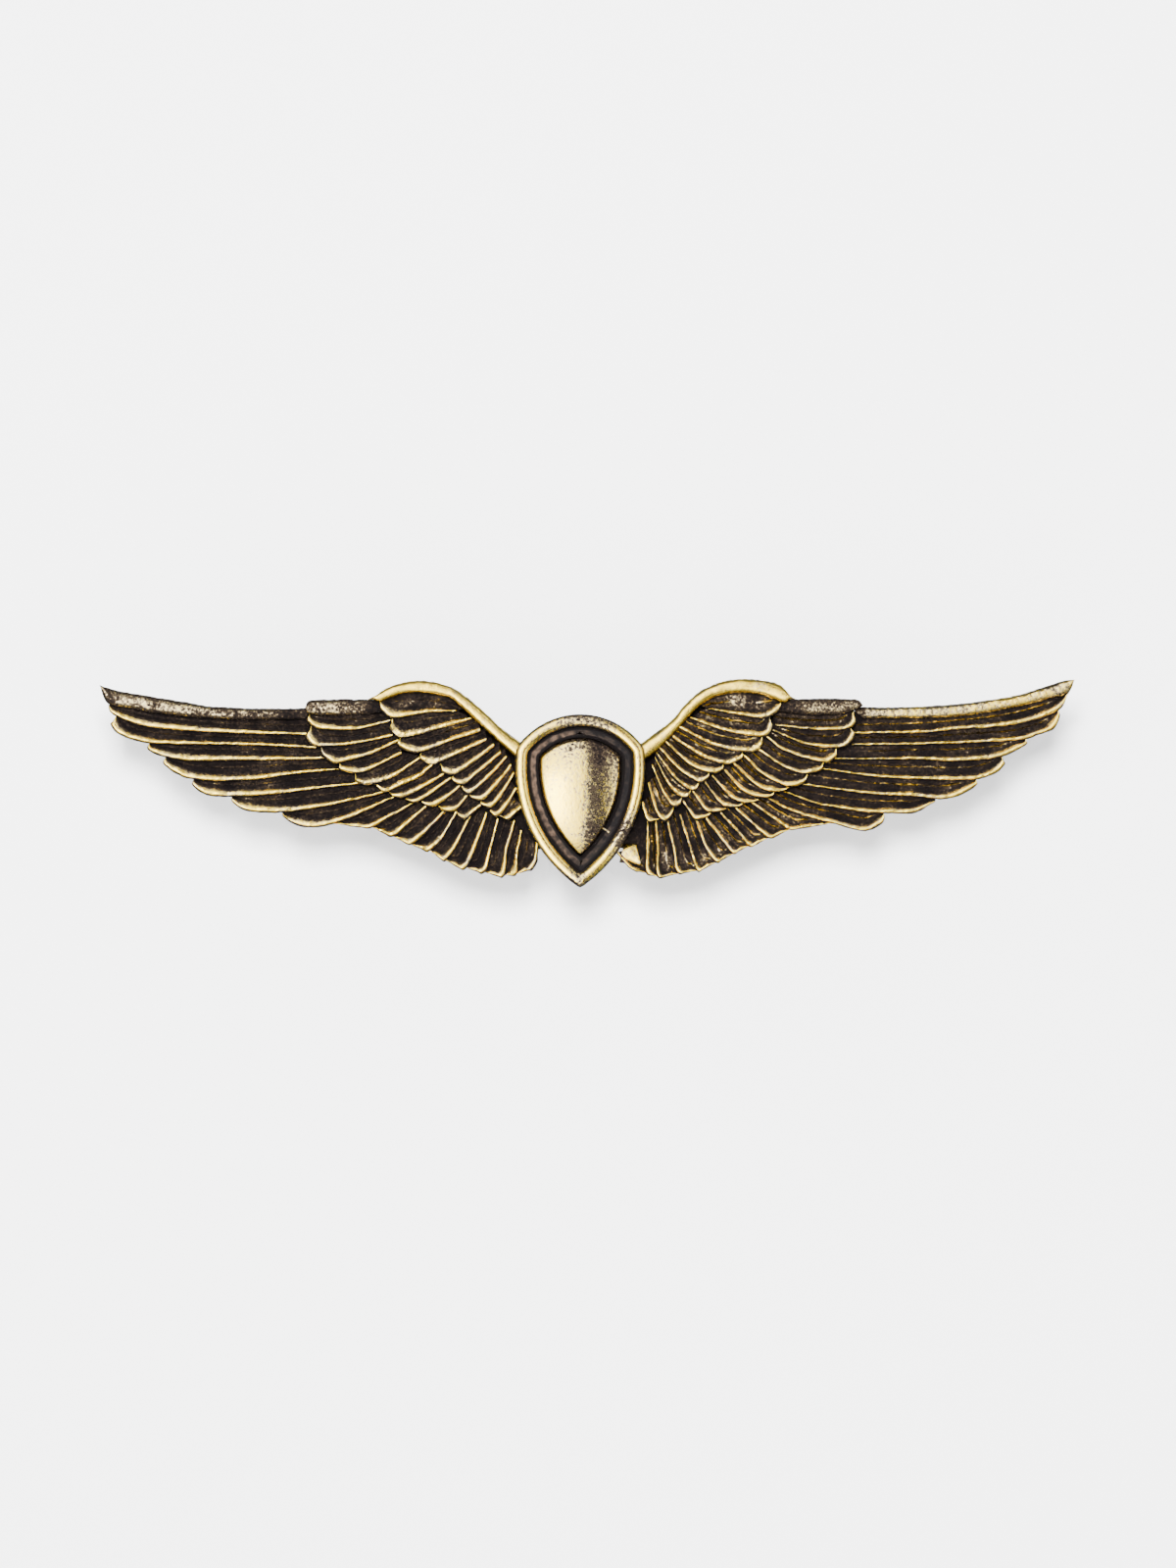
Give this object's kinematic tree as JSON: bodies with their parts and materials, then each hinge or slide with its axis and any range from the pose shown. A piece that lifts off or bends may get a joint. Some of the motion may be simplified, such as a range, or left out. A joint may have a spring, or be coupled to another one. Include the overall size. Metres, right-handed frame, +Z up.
{
  "type": "pilot wings pin",
  "caption": "Cast metal wings with a black-inlaid shield, worn on cloth by pointed posts and squeeze-to-release butterfly clutches.",
  "frame": {"origin": "on the plate's flat back, where it lies on the cloth, behind the widest part of the shield", "axes": "+Z up as worn, +X to the right as seen from the front, front facing -Y, posts towards +Y"},
  "size_m": [0.0762, 0.0109, 0.0163],
  "materials": {
    "gilt_casting": "antiqued gilt, dark patina in the recesses",
    "polished_gilt": "polished gilt",
    "black_enamel": "gloss black enamel",
    "solder": "dull tin solder",
    "clutch_brass": "bright stamped brass",
    "spring_wire": "drawn spring wire"
  },
  "bodies": {
    "badge": {"wing_plate": "gilt_casting", "shield_boss": "polished_gilt", "shield_inlay": "black_enamel", "shield_solder": "solder", "left_post": "clutch_brass", "left_post_solder": "solder", "right_post": "clutch_brass", "right_post_solder": "solder"},
    "left_clutch": {"left_clutch_base": "clutch_brass", "left_clutch_cap": "clutch_brass", "left_clutch_spring": "spring_wire"},
    "left_inner_ear": {"left_inner_jaw": "clutch_brass"},
    "left_outer_ear": {"left_outer_jaw": "clutch_brass"},
    "right_clutch": {"right_clutch_base": "clutch_brass", "right_clutch_cap": "clutch_brass", "right_clutch_spring": "spring_wire"},
    "right_inner_ear": {"right_inner_jaw": "clutch_brass"},
    "right_outer_ear": {"right_outer_jaw": "clutch_brass"}
  },
  "joints": [
    {"name": "left_clutch_slide", "type": "slide", "parent": "badge", "child": "left_clutch", "axis": [0, 1, 0], "range_m": [0, 0.012]},
    {"name": "left_ear_squeeze", "type": "slide", "parent": "left_clutch", "child": "left_outer_ear", "axis": [1, 0, 0], "range_m": [0, 0.0006], "stiffness_N_per_m": 3000},
    {"name": "left_inner_ear_squeeze", "type": "slide", "parent": "left_clutch", "child": "left_inner_ear", "axis": [-1, 0, 0], "range_m": [0, 0.0006], "stiffness_N_per_m": 3000},
    {"name": "right_clutch_slide", "type": "slide", "parent": "badge", "child": "right_clutch", "axis": [0, 1, 0], "range_m": [0, 0.012]},
    {"name": "right_ear_squeeze", "type": "slide", "parent": "right_clutch", "child": "right_outer_ear", "axis": [-1, 0, 0], "range_m": [0, 0.0006], "stiffness_N_per_m": 3000},
    {"name": "right_inner_ear_squeeze", "type": "slide", "parent": "right_clutch", "child": "right_inner_ear", "axis": [1, 0, 0], "range_m": [0, 0.0006], "stiffness_N_per_m": 3000}
  ],
  "couplings": [
    {"joint": "left_inner_ear_squeeze", "follows": "left_ear_squeeze", "ratio": 1},
    {"joint": "right_inner_ear_squeeze", "follows": "right_ear_squeeze", "ratio": 1}
  ]
}
